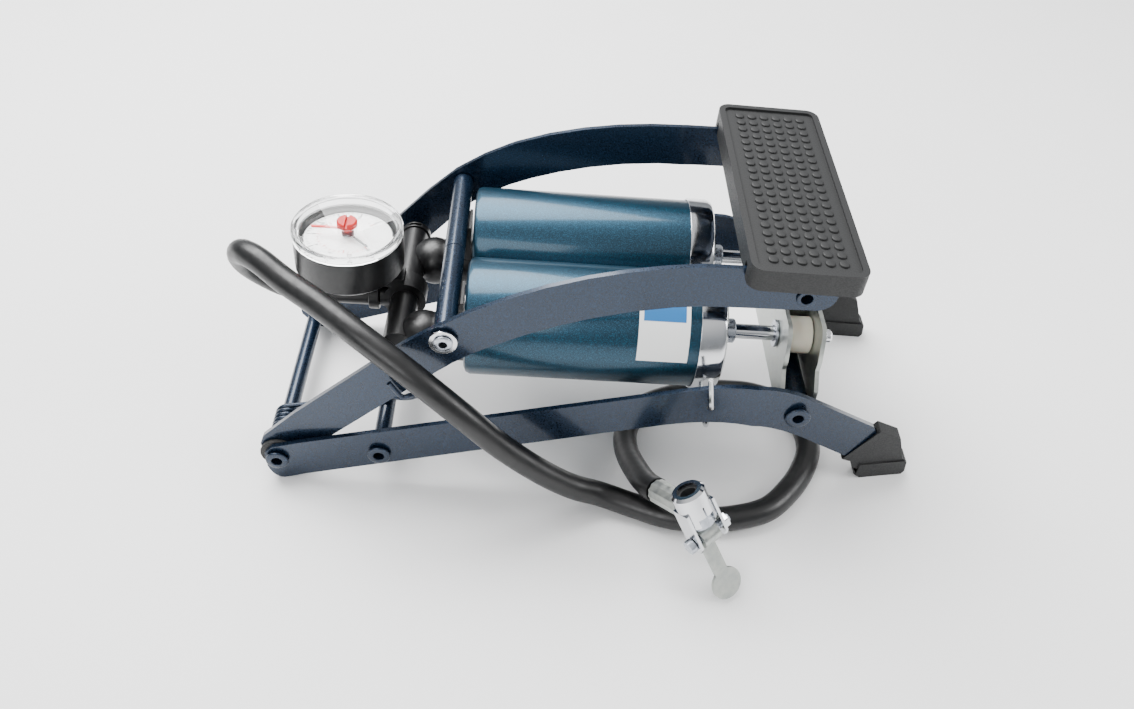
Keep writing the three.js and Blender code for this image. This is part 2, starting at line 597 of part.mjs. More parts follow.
function rodBracket() {
  // Two plates across the rods, one each side of the nylon bushes, joined by two webs over the front tube.
  const other = BRACKET_OUTLINE.map(([y, n]) => [-y, n]);
  const shape = outline([...other, ...BRACKET_OUTLINE.slice().reverse()]);
  drilled(shape, [[BARREL_PITCH, 0, ROD_R + GAP], [-BARREL_PITCH, 0, ROD_R + GAP]]);
  const place = (from) => new THREE.Matrix4().set(0, 0, 1, from, 1, 0, 0, 0, 0, 1, 0, 0, 0, 0, 0, 1);
  const plate = (from) => new THREE.ExtrudeGeometry(shape, {
    depth: BRACKET_THICK, bevelEnabled: false, curveSegments: 8,
  }).applyMatrix4(place(from));
  const lowest = BRACKET_OUTLINE[BRACKET_OUTLINE.length - 1][1];
  const along = [bracketRear + 0.5, bracketFront + BRACKET_THICK - 0.5];
  const [near, far] = BRACKET_WEB;
  return cut(joined(plate(bracketRear), plate(bracketFront),
    block(along, [near, far], [lowest, BRACKET_WEB_TOP]),
    block(along, [-far, -near], [lowest, BRACKET_WEB_TOP])),
  rod(-far - 1, far + 1, FRONT_TUBE_R + GAP, 24).translate(frontS, 0, frontN));
}

function rodNut() {
  const end = nutStart + NUT_LENGTH;
  return alongX(cut(rod(nutStart, end, NUT_R, 6), rod(nutStart - 1, end + 1, ROD_R - 0.4 + GAP)));
}

function manifoldPipe(extra) {
  return rod(MANIFOLD_NEAR_END, MANIFOLD_FAR_END, MANIFOLD_R + extra)
    .translate(-MANIFOLD_BACK, 0, -MANIFOLD_DROP);
}

function rearFitting(side) {
  // Black elbow behind the barrel, with an open cradle under the pivot tube.
  const y = side * BARREL_PITCH;
  const elbow = new THREE.SphereGeometry(ELBOW_R, 20, 14).translate(-ELBOW_BACK, y, -MANIFOLD_DROP);
  const neck = alongX(rod(-ELBOW_BACK, BARREL_START - GAP, NECK_R)).translate(0, y, -MANIFOLD_DROP);
  const spigot = alongX(rod(-2, BARREL_START + REAR_WALL - 0.2, PORT_R)).translate(0, y, -MANIFOLD_DROP);
  const cradle = block([pivotS - PIVOT_TUBE_R, -2 * GAP], [y - CRADLE_WIDTH / 2, y + CRADLE_WIDTH / 2],
    [-MANIFOLD_DROP, pivotN - 1]);
  const groove = rod(y - CRADLE_WIDTH, y + CRADLE_WIDTH, PIVOT_TUBE_R + GAP).translate(pivotS, 0, pivotN);
  return cut(joined(elbow, neck, spigot, cradle), groove, manifoldPipe(GAP));
}

function manifold() {
  const level = -MANIFOLD_DROP;
  const boss = rod(-5, 6, BOSS_R).translate(-MANIFOLD_BACK, 0, level);
  const neckEnd = -(HOSE_START - GAP - COLLAR_LENGTH - GAP);
  const neck = alongX(rod(neckEnd, -MANIFOLD_BACK, HOSE_R)).translate(0, 0, level);
  const barb = alongX(rod(-(HOSE_START - 2 * GAP), -MANIFOLD_BACK, NIPPLE_R)).translate(0, 0, level);
  const arm = block([-GAUGE_BACK - 8, -MANIFOLD_BACK], [-5, 5], [level + COLLAR_R + 2 * GAP, -0.5]);
  const pad = alongZ(rod(-2, GAUGE_BOTTOM - GAP, 8)).translate(-GAUGE_BACK, 0, 0);
  const bores = [
    rod(MANIFOLD_NEAR_END + 4, MANIFOLD_FAR_END + 1, MANIFOLD_BORE).translate(-MANIFOLD_BACK, 0, level),
    alongX(rod(-HOSE_START - 1, -MANIFOLD_BACK, 2.2)).translate(0, 0, level),
    alongZ(rod(-5, 6, 2.6)).translate(-GAUGE_BACK, 0, 0),
    alongX(rod(-MANIFOLD_BACK, -MANIFOLD_BACK + 9, 2.5)).translate(0, BARREL_PITCH, level),
    alongX(rod(-MANIFOLD_BACK, -MANIFOLD_BACK + 9, 2.5)).translate(0, -BARREL_PITCH, level),
  ];
  return cut(joined(manifoldPipe(0), boss, neck, barb, arm, pad), ...bores);
}

function manifoldPlug() {
  const start = MANIFOLD_FAR_END + GAP;
  const plug = turned([[start - 5, 0], [start - 5, MANIFOLD_BORE - GAP], [start, MANIFOLD_BORE - GAP],
    [start, MANIFOLD_R + 0.8], [start + 3.6, MANIFOLD_R + 0.8], [start + 3.6, 0]])
    .translate(-MANIFOLD_BACK, 0, -MANIFOLD_DROP);
  const slot = block([-MANIFOLD_BACK - 3, -MANIFOLD_BACK + 3], [start + 1.2, start + 2.6],
    [-MANIFOLD_DROP + MANIFOLD_R - 1.2, -MANIFOLD_DROP + MANIFOLD_R + 2]);
  return cut(plug, slot);
}

for (const [hand, side] of SIDES) {
  const y = side * BARREL_PITCH;
  const placed = (geometry) => geometry.translate(0, y, 0);
  add(`barrel_${hand}`, placed(barrel()), TEAL, cylinders);
  add(`front_cap_${hand}`, placed(frontCap()), CHROME, cylinders);
  add(`rod_bush_${hand}`, placed(rodBush()), STEEL, cylinders);
  add(`rear_fitting_${hand}`, rearFitting(side), BLACK, cylinders);
  add(`piston_${hand}`, placed(piston()), BLACK, cylinders);
  add(`piston_seal_${hand}`, placed(alongX(ring(SEAL_START + GAP, SEAL_START + SEAL_LENGTH - GAP,
    BARREL_R - BARREL_WALL - 2.8, BARREL_R - BARREL_WALL - GAP, ROUND))), RUBBER, cylinders);
  add(`piston_rod_${hand}`, placed(pistonRod()), CHROME, cylinders);
  add(`rod_washer_${hand}`, placed(alongX(ring(bracketRear - GAP - ROD_WASHER_THICK, bracketRear - GAP,
    ROD_R + GAP, ROD_WASHER_R))), STEEL, cylinders);
  add(`nylon_bush_${hand}`, placed(alongX(ring(bracketRear + BRACKET_THICK + GAP, bracketFront - GAP,
    ROD_R + GAP, NYLON_R))), NYLON, cylinders);
  add(`rod_nut_${hand}`, placed(rodNut()), CHROME, cylinders);
}
add('rod_bracket', rodBracket(), ZINC, cylinders);
add('manifold', manifold(), BLACK, cylinders);
add('manifold_plug', manifoldPlug(), BLACK, cylinders);
add('hose_collar', alongX(ring(-(HOSE_START - GAP), -(HOSE_START - GAP - COLLAR_LENGTH), NIPPLE_R + GAP, COLLAR_R))
  .translate(0, 0, -MANIFOLD_DROP), BLACK, cylinders);

// ---------- pressure gauge ----------
const gauge = new THREE.Group();
gauge.position.set(-GAUGE_BACK, 0, 0);
cylinders.add(gauge);
const LENS_BOTTOM = GAUGE_TOP - LENS_DEPTH;
const DIAL_THICK = 0.9;
const SPINDLE_R = 1;
const SPINDLE_LENGTH = 3;

function gaugeBody() {
  const outer = GAUGE_R - 0.3;
  const inner = outer - GAUGE_WALL;
  const top = LENS_BOTTOM - GAP;
  const floor = DIAL_LEVEL - DIAL_THICK - GAP;
  const spindle = floor - SPINDLE_LENGTH;
  return alongZ(turned([[-3, 0], [-3, 2.3], [GAUGE_BOTTOM, 2.3], [GAUGE_BOTTOM, outer - 3], [GAUGE_BOTTOM + 3, outer],
    [top, outer], [top, inner], [floor, inner], [floor, SPINDLE_R + GAP], [spindle - GAP, SPINDLE_R + GAP],
    [spindle - GAP, 0]], ROUND));
}

function gaugeLens() {
  const top = GAUGE_TOP;
  const bottom = LENS_BOTTOM;
  const under = top - 1.5;
  return alongZ(turned([[bottom, GAUGE_R - 2.4], [bottom, GAUGE_R], [top - 0.8, GAUGE_R], [top, GAUGE_R - 0.8],
    [top, GAUGE_R - 3], [top - 0.4, GAUGE_R - 3.6], [top - 0.4, MARKER_HUB_R - 1], [under, MARKER_HUB_R - 1],
    [under, GAUGE_R - 2.4], [bottom, GAUGE_R - 2.4]], ROUND));
}

function pointer(heading, length, width, level, thick) {
  return block([0, length], [-width / 2, width / 2], [level, level + thick]).rotateZ(radians(heading));
}

function gaugeNeedle() {
  const start = DIAL_LEVEL - DIAL_THICK - GAP - SPINDLE_LENGTH;
  const hub = alongZ(turned([[start, 0], [start, SPINDLE_R], [NEEDLE_LEVEL - 0.8, SPINDLE_R],
    [NEEDLE_LEVEL - 0.8, 3], [NEEDLE_LEVEL + 1.2, 3], [NEEDLE_LEVEL + 1.2, 0]], 12));
  return joined(hub, pointer(NEEDLE_HEADING, NEEDLE_LENGTH, 1, NEEDLE_LEVEL, 0.8));
}

function gaugeMarker() {
  // A slotted knob on the lens; its shank passes through and carries the marker underneath.
  const top = GAUGE_TOP + 2.8;
  const hub = alongZ(turned([[MARKER_LEVEL, 0], [MARKER_LEVEL, 3], [MARKER_LEVEL + 0.9, 3], [MARKER_LEVEL + 0.9, 2.6],
    [GAUGE_TOP, 2.6], [GAUGE_TOP, MARKER_HUB_R], [top - 0.6, MARKER_HUB_R], [top, MARKER_HUB_R - 0.6], [top, 0]], 20));
  const slot = block([-0.7, 0.7], [-6, 6], [top - 1.6, top + 1]);
  return cut(joined(hub, pointer(180, MARKER_LENGTH, 1.3, MARKER_LEVEL, 0.9)), slot);
}
add('gauge_body', gaugeBody(), BLACK, gauge);
add('gauge_dial', alongZ(ring(DIAL_LEVEL - DIAL_THICK, DIAL_LEVEL, SPINDLE_R + GAP, DIAL_R, ROUND)), WHITE, gauge);
add('gauge_lens', gaugeLens(), CLEAR, gauge);
add('gauge_needle', gaugeNeedle(), GREY, gauge);
add('gauge_marker', gaugeMarker(), RED, gauge);

// ---------- hose ----------
class Stretch extends THREE.Curve {
  constructor(route, from, to) {
    super();
    this.stretch = { route, from, to };
  }

  getPoint(t, target = new THREE.Vector3()) {
    const { route, from, to } = this.stretch;
    return target.copy(route.getPointAt(from + (to - from) * t));
  }
}
const hoseRoute = new THREE.CatmullRomCurve3(HOSE_POINTS.map((p) => new THREE.Vector3(...p)), false, 'centripetal');
hoseRoute.arcLengthDivisions = 1200;
const hoseBreak = GAP / hoseRoute.getLength() / 2;
add('hose_upper', wire(new Stretch(hoseRoute, 0, HOSE_SPLIT - hoseBreak), HOSE_R, HOSE_SIDES,
  Math.round(HOSE_STEPS * HOSE_SPLIT)), RUBBER);
add('hose_lower', wire(new Stretch(hoseRoute, HOSE_SPLIT + hoseBreak, 1), HOSE_R, HOSE_SIDES,
  Math.round(HOSE_STEPS * (1 - HOSE_SPLIT))), RUBBER);

// ---------- valve chuck ----------
const chuck = new THREE.Group();
const chuckZ = new THREE.Vector3(...CHUCK_AXIS).normalize();
const chuckX = new THREE.Vector3(...CHUCK_SIDE).cross(chuckZ).normalize();
const chuckY = new THREE.Vector3().crossVectors(chuckZ, chuckX);
chuck.quaternion.setFromRotationMatrix(new THREE.Matrix4().makeBasis(chuckX, chuckY, chuckZ));
chuck.position.set(...CHUCK_MOUTH);
pump.add(chuck);
const acrossX = (geometry) => alongX(geometry).translate(0, 0, -PIN_LEVEL);

function chuckBody() {
  const bore = CHUCK_R - CHUCK_WALL;
  const tube = alongZ(turned([[0, 0], [0, CHUCK_R - 1.2], [-1.2, CHUCK_R], [-CHUCK_SHELL, CHUCK_R],
    [-CHUCK_SHELL, 0]], 24));
  const cheek = outline([[-CHEEK_HALF_WIDTH, -CHUCK_SHELL + 8], [-CHEEK_HALF_WIDTH, -CHUCK_LENGTH + 4],
    [-CHEEK_HALF_WIDTH + 2, -CHUCK_LENGTH + 1], [-1.6, -CHUCK_LENGTH], [1.6, -CHUCK_LENGTH],
    [CHEEK_HALF_WIDTH - 2, -CHUCK_LENGTH + 1], [CHEEK_HALF_WIDTH, -CHUCK_LENGTH + 4],
    [CHEEK_HALF_WIDTH, -CHUCK_SHELL + 8]]);
  const cheekAt = (from) => new THREE.ExtrudeGeometry(cheek, { depth: CHUCK_WALL, bevelEnabled: false })
    .applyMatrix4(new THREE.Matrix4().set(0, 0, 1, from, 1, 0, 0, 0, 0, 1, 0, 0, 0, 0, 0, 1));
  return cut(joined(tube, cheekAt(bore), cheekAt(-CHUCK_R)),
    alongZ(rod(-CHUCK_SHELL - 1, -1.6, bore)),
    alongZ(rod(-3, 1, CHUCK_MOUTH_R)),
    rod(0, 20, STEM_R + GAP).translate(0, 0, -FERRULE_LEVEL),
    block([-3.9, 3.9], [-20, 0], [-CHUCK_SHELL - 1, -CHUCK_SHELL + 4]),
    block([-SLIT / 2, SLIT / 2], [-20, 0], [-CHUCK_SHELL, -CHUCK_SHELL + SLIT_LENGTH]),
    block([-3.2, 3.2], [0, 20], [-CHUCK_SHELL - 1, -CHUCK_SHELL + 2]),
    acrossX(rod(-20, 20, PIN_R + GAP, 12)));
}

function chuckCore() {
  const bore = CHUCK_R - CHUCK_WALL - GAP;
  const top = -1.6 - GAP - CHUCK_SEAL_LENGTH - GAP;
  const plug = alongZ(rod(top - CORE_LENGTH, top, bore, 16));
  const stem = rod(0, FERRULE_START + 3, STEM_R, 16).translate(0, 0, -FERRULE_LEVEL);
  const passage = alongZ(rod(top - 4, top + 1, 1.6, 12));
  const side = rod(0, FERRULE_START + 5, 1.4, 12).translate(0, 0, -FERRULE_LEVEL);
  return cut(joined(plug, stem), passage, side);
}

function hoseFerrule() {
  const ribs = 12;
  const shape = new THREE.Shape();
  for (let i = 0; i < 2 * ribs; i += 1) {
    const turn = (Math.PI * i) / ribs;
    const r = i % 2 ? FERRULE_R : FERRULE_R - 0.5;
    shape[i ? 'lineTo' : 'moveTo'](r * Math.cos(turn), r * Math.sin(turn));
  }
  const sleeve = new THREE.ExtrudeGeometry(shape, { depth: FERRULE_END - FERRULE_START, bevelEnabled: false })
    .rotateX(-Math.PI / 2).translate(0, FERRULE_START, -FERRULE_LEVEL);
  return cut(sleeve, rod(0, FERRULE_START + 3 + GAP, STEM_R + GAP, 16).translate(0, 0, -FERRULE_LEVEL));
}

add('chuck_body', chuckBody(), CHROME, chuck);
add('chuck_seal', alongZ(ring(-1.6 - GAP - CHUCK_SEAL_LENGTH, -1.6 - GAP, SEAL_HOLE_R,
  CHUCK_R - CHUCK_WALL - GAP, 20)), RUBBER, chuck);
add('chuck_core', chuckCore(), STEEL, chuck);
add('hose_ferrule', hoseFerrule(), STEEL, chuck);

const cheekOut = CHUCK_R + GAP;
add('chuck_pin', joined(acrossX(rod(-cheekOut - 3, cheekOut + 4.2, PIN_R, 12)),
  acrossX(rod(-cheekOut - 3, -cheekOut, PIN_R + 1.4, 12))), STEEL, chuck);
add('chuck_nut', acrossX(ring(cheekOut, cheekOut + 3, PIN_R + GAP, PIN_R + 1.7, 6)), STEEL, chuck);

function chuckLever() {
  const half = LEVER_WIDTH / 2;
  const arm = outline([[0, -half], [LEVER_LENGTH - 5, -half], [LEVER_LENGTH - 5, half], [0, half]]);
  const strip = pressed(arm, -LEVER_THICK / 2, LEVER_THICK / 2).translate(0, LEVER_SHIFT, 0);
  const paddle = alongZ(rod(-LEVER_THICK / 2, LEVER_THICK / 2, PADDLE_R, 24))
    .translate(LEVER_LENGTH, LEVER_SHIFT, 0);
  const cam = rod(-CAM_WIDTH / 2, CAM_WIDTH / 2, CAM_R, 16);
  const lever = cut(joined(strip, paddle, cam), rod(-9, 9, PIN_R + GAP, 12));
  // From the pin, the lever lies along local +X: turned down to the chuck's axis, then out by its angle.
  const placed = new THREE.Matrix4().makeBasis(
    new THREE.Vector3(0, -Math.sin(radians(LEVER_ANGLE)), -Math.cos(radians(LEVER_ANGLE))),
    new THREE.Vector3(1, 0, 0),
    new THREE.Vector3(0, -Math.cos(radians(LEVER_ANGLE)), Math.sin(radians(LEVER_ANGLE))),
  );
  return lever.applyMatrix4(placed).translate(0, 0, -PIN_LEVEL);
}
add('chuck_lever', chuckLever(), ZINC, chuck);

export default pump;
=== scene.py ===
"""Twin-barrel foot pump with gauge, hose and valve chuck, laid out as a Blender add-on."""
import math

import bmesh
import bpy
from mathutils import Matrix, Vector


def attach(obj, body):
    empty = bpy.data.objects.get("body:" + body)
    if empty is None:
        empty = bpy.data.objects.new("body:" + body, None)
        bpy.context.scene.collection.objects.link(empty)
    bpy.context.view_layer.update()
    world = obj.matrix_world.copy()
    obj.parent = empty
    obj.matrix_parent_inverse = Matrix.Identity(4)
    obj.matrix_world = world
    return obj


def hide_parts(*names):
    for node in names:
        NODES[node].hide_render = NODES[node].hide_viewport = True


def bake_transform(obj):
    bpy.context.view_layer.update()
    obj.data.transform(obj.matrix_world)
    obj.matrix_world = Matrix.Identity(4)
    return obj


bl_info = {
    "name": "Foot pump",
    "version": (1, 0, 0),
    "blender": (4, 2, 0),
    "location": "View3D > Sidebar > Foot pump",
    "description": "Builds the finished pieces of a twin-barrel foot pump",
    "category": "Add Mesh",
}

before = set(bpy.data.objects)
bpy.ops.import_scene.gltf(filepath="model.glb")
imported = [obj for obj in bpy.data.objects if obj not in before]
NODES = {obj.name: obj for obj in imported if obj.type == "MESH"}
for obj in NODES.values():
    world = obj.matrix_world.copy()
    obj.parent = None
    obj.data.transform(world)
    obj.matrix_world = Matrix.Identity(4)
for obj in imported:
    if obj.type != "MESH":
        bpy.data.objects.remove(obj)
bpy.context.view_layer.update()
MM = 0.001
BACK = 150.15                      # from the origin back to the rear hinge, mm

# Route of the hose's centreline, mm from the rear hinge.
HOSE_POINTS = [
    (44.55, 0, 71.62), (30, 0, 72.8), (14, 0, 74.6), (4, 0, 77), (-3.6, -0.5, 82.5),
    (-8.5, -3.5, 90.3), (-10.2, -8, 99), (-8.4, -13, 106.5), (-3.6, -18.5, 110.3),
    (3.5, -24.5, 110.9), (16, -34, 107), (33, -46, 103), (53, -60.5, 96.8), (74, -72, 85.7),
    (94.5, -78, 67.5), (112, -79.5, 47.5), (132, -79.5, 28), (145, -77.8, 17),
    (157, -76.1, 10), (173, -80.3, 6.5), (188.5, -86.3, 6.2), (204, -88.5, 6.2),
    (219.9, -87.5, 6.2), (236.2, -82.5, 6.2), (248, -71.5, 6.2), (257, -58.5, 6.2),
    (262.5, -44, 6.2), (261.5, -28, 6.2), (252, -12.5, 6.2), (238, -5.2, 6.2),
    (225.8, -3.4, 6.2), (212, -4, 6.2), (195.8, -7.3, 6.2), (182.2, -14, 6.2),
    (173.5, -26, 6.3), (170.8, -36, 7.6), (170.8, -49.8, 11.2), (173.6, -65.4, 17.2),
    (178.45, -81.7, 24.3), (182.5, -88.6, 28),
]
# The return spring: hook over the near arm, then the leg down to the coil.
SPRING_HOOK = [
    (61.3, -60.9, 69.6), (63.8, -61.1, 65), (66.8, -61.2, 61), (70.4, -60.6, 61.6),
    (72.4, -58, 59.5), (71.6, -55.2, 55.6), (68, -53.2, 52.4), (63.5, -52, 51),
    (58.5, -51, 50.6),
]
HINGE_HEIGHT = 14.3
PEDAL_CENTRE = (240.3, 135.9)
PEDAL_TILT = 5.3
BARREL_REAR = (94, 81.77)
BARREL_TILT = 4.5
GAUGE_BACK = 56.8
DIAL_LEVEL = 18.5
BARREL_SPREAD = 28.3               # half the distance between the barrels' axes
STUD_ROWS = 6
STUD_COLUMNS = 20
STUD_HEIGHT = 0.0012               # metres, most of it above the tread's floor
STUD_LEVEL = -0.0009               # middle of a stud below the pedal's rim, metres
SCALE_START, SCALE_SWEEP = -45, -270    # degrees from +X, clockwise seen from above

# The spring's coil: radius, run per turn, start beside the near arm and number of turns.
COIL_RADIUS = 5.7
COIL_PITCH = 2.75
COIL_START = -48.4
COIL_TURNS = 8
LEG_SLOPE = 41.8                   # degrees, along the arm
LEG_LEAVES = -48.2                 # degrees round the axle, where the leg leaves the coil
SPRING_TAIL = [(25.25, 22.9), (50.5, 25.6), (56.5, 26.3)]    # X, Z over the cross tube

# The stage, in metres: a camera above and in front, a wide floor and three soft lamps.
CAMERA_PLACE = (-0.00885, -0.3882, 0.3968)
CAMERA_TILT = 46.6
CAMERA_LENS = 32.71
FLOOR_SIZE = 60
LAMPS = [
    ("key", (-0.35, 0.45, 1.0), (0, 0, 0), 36, 0.9),
    ("front", (-0.5, -1.0, 0.7), (0, 0, 0.05), 6, 0.6),
    ("side", (1.0, -0.2, 0.6), (0, 0, 0.05), 7, 0.5),
]


# ---------- sizes and colours a user may change ----------
class PumpSizes(bpy.types.PropertyGroup):
    """Sizes of the pieces modelled here."""

    hose_diameter: bpy.props.FloatProperty(
        name="Hose diameter", description="Outer diameter of the rubber hose",
        default=0.012, min=0.006, max=0.02, unit="LENGTH")
    spring_wire: bpy.props.FloatProperty(
        name="Spring wire", description="Diameter of the return spring's wire",
        default=0.0024, min=0.001, max=0.004, unit="LENGTH")
    stud_pitch: bpy.props.FloatProperty(
        name="Stud pitch", description="Distance between the studs of the pedal's tread",
        default=0.00594, min=0.003, max=0.01, unit="LENGTH")
    stud_diameter: bpy.props.FloatProperty(
        name="Stud diameter", description="Diameter of a stud of the pedal's tread",
        default=0.0043, min=0.002, max=0.0055, unit="LENGTH")
    edge_radius: bpy.props.FloatProperty(
        name="Edge radius", description="Rounding of the edges of steel strip",
        default=0.00045, min=0.0001, max=0.001, unit="LENGTH")


class PumpColours(bpy.types.PropertyGroup):
    """Colours of the pump's finishes."""

    navy: bpy.props.FloatVectorProperty(
        name="Frame paint", description="Metallic paint of rails and arms",
        default=(0.0048, 0.0145, 0.033), size=3, min=0, max=1, subtype="COLOR")
    teal: bpy.props.FloatVectorProperty(
        name="Barrel paint", description="Metallic flake paint of the barrels",
        default=(0.008, 0.04, 0.068), size=3, min=0, max=1, subtype="COLOR")
    rubber: bpy.props.FloatVectorProperty(
        name="Rubber", description="Pedal pad, feet and seals",
        default=(0.0105, 0.011, 0.0115), size=3, min=0, max=1, subtype="COLOR")
    hose: bpy.props.FloatVectorProperty(
        name="Hose rubber", description="Smooth rubber of the hose",
        default=(0.0035, 0.0036, 0.004), size=3, min=0, max=1, subtype="COLOR")


# ---------- finishes ----------
def shader(name, colour, metallic=0.0, roughness=0.5, coat=0.0, coat_roughness=0.1):
    """A material with its Principled shader set; returns material, nodes, links and shader."""
    made = bpy.data.materials.new(name)
    made.use_nodes = True
    nodes, links = made.node_tree.nodes, made.node_tree.links
    bsdf = nodes["Principled BSDF"]
    bsdf.inputs["Base Color"].default_value = (*colour, 1)
    bsdf.inputs["Metallic"].default_value = metallic
    bsdf.inputs["Roughness"].default_value = roughness
    bsdf.inputs["Coat Weight"].default_value = coat
    bsdf.inputs["Coat Roughness"].default_value = coat_roughness
    return made, nodes, links, bsdf


def noise(nodes, links, scale, detail=2.0):
    """Noise on the piece's own Object coordinates, scale in cells per metre."""
    place = nodes.new("ShaderNodeTexCoord")
    texture = nodes.new("ShaderNodeTexNoise")
    texture.inputs["Scale"].default_value = scale
    texture.inputs["Detail"].default_value = detail
    links.new(place.outputs["Object"], texture.inputs["Vector"])
    return texture


def vary(nodes, links, bsdf, socket, source, low, high, start=0.35, end=0.65):
    """Spreads a texture's value between two levels of a shader socket."""
    spread = nodes.new("ShaderNodeMapRange")
    spread.inputs["From Min"].default_value = start
    spread.inputs["From Max"].default_value = end
    spread.inputs["To Min"].default_value = low
    spread.inputs["To Max"].default_value = high
    links.new(source, spread.inputs["Value"])
    links.new(spread.outputs["Result"], bsdf.inputs[socket])


def tint(nodes, links, bsdf, source, dark, light, start=0.4, end=0.6):
    """Colours the surface between two tones by a texture's value."""
    ramp = nodes.new("ShaderNodeValToRGB")
    ramp.color_ramp.elements[0].position = start
    ramp.color_ramp.elements[0].color = (*dark, 1)
    ramp.color_ramp.elements[1].position = end
    ramp.color_ramp.elements[1].color = (*light, 1)
    links.new(source, ramp.inputs["Fac"])
    links.new(ramp.outputs["Color"], bsdf.inputs["Base Color"])


def relief(nodes, links, bsdf, source, strength, distance):
    """Fine surface relief from a texture."""
    bump = nodes.new("ShaderNodeBump")
    bump.inputs["Strength"].default_value = strength
    bump.inputs["Distance"].default_value = distance
    links.new(source, bump.inputs["Height"])
    links.new(bump.outputs["Normal"], bsdf.inputs["Normal"])


def lighter(colour, times):
    return tuple(min(1.0, part * times) for part in colour)


def make_finishes(colours):
    """All the pump's finishes, by slot name."""
    made = {}
    navy, teal = tuple(colours.navy), tuple(colours.teal)

    material, nodes, links, bsdf = shader("navy_paint", navy, 0.6, 0.28, 0.45, 0.12)
    grain = noise(nodes, links, 1400)
    tint(nodes, links, bsdf, grain.outputs["Fac"], lighter(navy, 0.8), lighter(navy, 2.0), 0.4, 0.75)
    vary(nodes, links, bsdf, "Roughness", grain.outputs["Fac"], 0.26, 0.38)
    made["navy_paint"] = material

    material, nodes, links, bsdf = shader("teal_paint", teal, 0.75, 0.3, 0.35, 0.12)
    flakes = noise(nodes, links, 2600, 1.0)
    tint(nodes, links, bsdf, flakes.outputs["Fac"], lighter(teal, 0.7), lighter(teal, 2.2), 0.45, 0.72)
    vary(nodes, links, bsdf, "Roughness", flakes.outputs["Fac"], 0.3, 0.46)
    made["teal_paint"] = material

    material, nodes, links, bsdf = shader("chrome", (0.66, 0.67, 0.69), 1.0, 0.12)
    vary(nodes, links, bsdf, "Roughness", noise(nodes, links, 220).outputs["Fac"], 0.08, 0.17)
    made["chrome"] = material

    material, nodes, links, bsdf = shader("steel", (0.46, 0.49, 0.54), 1.0, 0.3)
    vary(nodes, links, bsdf, "Roughness", noise(nodes, links, 500).outputs["Fac"], 0.22, 0.38)
    made["steel"] = material

    material, nodes, links, bsdf = shader("zinc", (0.5, 0.52, 0.49), 0.9, 0.34)
    clouds = noise(nodes, links, 260, 4.0)
    tint(nodes, links, bsdf, clouds.outputs["Fac"], (0.34, 0.36, 0.35), (0.5, 0.52, 0.48), 0.3, 0.7)
    vary(nodes, links, bsdf, "Roughness", clouds.outputs["Fac"], 0.3, 0.46)
    made["zinc"] = material

    material, nodes, links, bsdf = shader("rubber", colours.rubber, 0.0, 0.6)
    grain = noise(nodes, links, 1500)
    vary(nodes, links, bsdf, "Roughness", grain.outputs["Fac"], 0.52, 0.7)
    relief(nodes, links, bsdf, grain.outputs["Fac"], 0.15, 0.0001)
    made["rubber"] = material

    material, nodes, links, bsdf = shader("hose_rubber", colours.hose, 0.0, 0.33)
    vary(nodes, links, bsdf, "Roughness", noise(nodes, links, 300).outputs["Fac"], 0.32, 0.42)
    made["hose_rubber"] = material

    material, nodes, links, bsdf = shader("black_plastic", (0.005, 0.005, 0.0055), 0.0, 0.36)
    vary(nodes, links, bsdf, "Roughness", noise(nodes, links, 700).outputs["Fac"], 0.28, 0.42)
    made["black_plastic"] = material

    material, nodes, links, bsdf = shader("nylon", (0.78, 0.73, 0.6), 0.0, 0.42)
    bsdf.inputs["Subsurface Weight"].default_value = 0.15
    bsdf.inputs["Subsurface Scale"].default_value = 0.003
    vary(nodes, links, bsdf, "Roughness", noise(nodes, links, 300).outputs["Fac"], 0.36, 0.5)
    made["nylon"] = material

    material, nodes, links, bsdf = shader("fibre", (0.03, 0.03, 0.032), 0.0, 0.7)
    tint(nodes, links, bsdf, noise(nodes, links, 900, 5.0).outputs["Fac"],
         (0.018, 0.018, 0.02), (0.045, 0.044, 0.042))
    made["fibre"] = material

    material, nodes, links, bsdf = shader("dial_white", (0.86, 0.87, 0.86), 0.0, 0.5)
    vary(nodes, links, bsdf, "Roughness", noise(nodes, links, 200).outputs["Fac"], 0.44, 0.56)
    made["dial_white"] = material

    for name, colour in (("needle_grey", (0.08, 0.085, 0.09)), ("marker_red", (0.62, 0.012, 0.01)),
                         ("print_black", (0.012, 0.012, 0.014)), ("print_red", (0.6, 0.03, 0.02)),
                         ("print_blue", (0.02, 0.16, 0.42))):
        material, nodes, links, bsdf = shader(name, colour, 0.0, 0.38)
        vary(nodes, links, bsdf, "Roughness", noise(nodes, links, 600).outputs["Fac"], 0.32, 0.46)
        made[name] = material

    material, nodes, links, bsdf = shader("clear_lens", (0.98, 0.98, 0.98), 0.0, 0.0)
    bsdf.inputs["Transmission Weight"].default_value = 1.0
    bsdf.inputs["IOR"].default_value = 1.46
    tint(nodes, links, bsdf, noise(nodes, links, 120).outputs["Fac"], (0.96, 0.97, 0.97), (1, 1, 1))
    made["clear_lens"] = material
    return made


FINISHES = {}


def finish_with(obj, name):
    """Gives a piece its finish."""
    if not FINISHES:
        FINISHES.update(make_finishes(bpy.context.scene.pump_colours))
    obj.data.materials.clear()
    obj.data.materials.append(FINISHES[name])


# ---------- ways of modelling ----------
def deselect_all():
    if bpy.context.object and bpy.context.object.mode != "OBJECT":
        bpy.ops.object.mode_set(mode="OBJECT")
    bpy.ops.object.select_all(action="DESELECT")


def take(obj):
    """Makes obj the one selected, active object."""
    deselect_all()
    obj.select_set(True)
    bpy.context.view_layer.objects.active = obj


